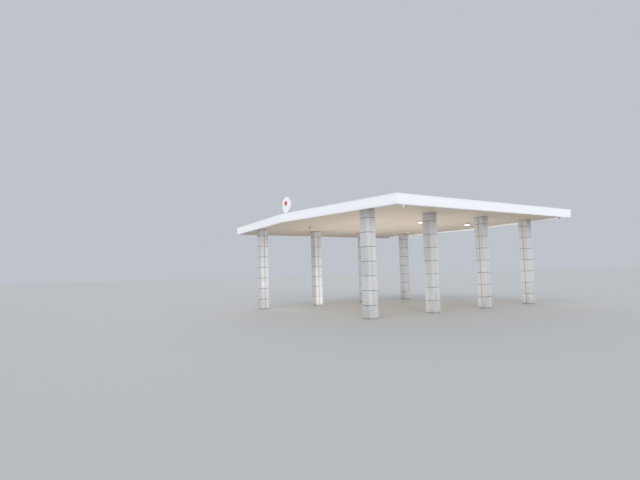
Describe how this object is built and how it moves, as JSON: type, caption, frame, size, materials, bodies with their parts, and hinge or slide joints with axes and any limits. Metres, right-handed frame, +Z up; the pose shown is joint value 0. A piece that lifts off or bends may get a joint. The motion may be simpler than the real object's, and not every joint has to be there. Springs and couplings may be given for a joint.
{
  "type": "filling station canopy",
  "caption": "Flat filling station canopy with a lit white fascia and shallow pointed ends, on two rows of square panel-clad columns.",
  "frame": {"origin": "on the floor, under the middle of the roof", "axes": "+X along the column rows, +Y from the road side to the shop side, +Z up"},
  "size_m": [15.8998, 16.1, 6.515],
  "materials": {
    "galvanised": "hot-dip galvanised, dull",
    "frame_paint": "grey primer, matt",
    "silver_panel": "silver coated composite panel, satin",
    "grey_trim": "mid grey, satin",
    "ceiling_paint": "warm light grey, satin",
    "roof_sheet": "coated ribbed sheet, satin",
    "white_paint": "white, satin",
    "lit_opal": "opal acrylic, lit from behind",
    "lamp_body": "pale warm grey die-cast, satin",
    "lamp_lens": "prismatic lens, lit"
  },
  "bodies": {
    "root": {"base_plates": "galvanised", "steel_posts": "frame_paint", "cap_plates": "frame_paint", "cladding_frames": "galvanised", "cladding_front_1": "silver_panel", "cladding_front_2": "silver_panel", "cladding_front_3": "silver_panel", "cladding_front_4": "silver_panel", "cladding_back_1": "silver_panel", "cladding_back_2": "silver_panel", "cladding_back_3": "silver_panel", "cladding_back_4": "silver_panel", "column_plinths": "grey_trim", "column_collars": "grey_trim", "cross_beams": "frame_paint", "purlins": "frame_paint", "edge_frame": "frame_paint", "ceiling_rails": "frame_paint", "ceiling": "ceiling_paint", "ceiling_edge_trim": "ceiling_paint", "roof_deck": "roof_sheet", "gutters": "galvanised", "end_flashings": "roof_sheet", "fascia_straps": "galvanised", "fascia_trays": "white_paint", "fascia_front": "lit_opal", "fascia_right_front": "lit_opal", "fascia_right_back": "lit_opal", "fascia_back": "lit_opal", "fascia_left_back": "lit_opal", "fascia_left_front": "lit_opal", "fascia_bottom_trim": "white_paint", "fascia_coping": "white_paint", "sign_posts": "frame_paint", "sign_case_left": "white_paint", "sign_face_left": "lit_opal", "sign_case_right": "white_paint", "sign_face_right": "lit_opal", "lamp_housings": "lamp_body", "lamp_lenses": "lamp_lens", "cabinet": "white_paint"}
  },
  "joints": []
}
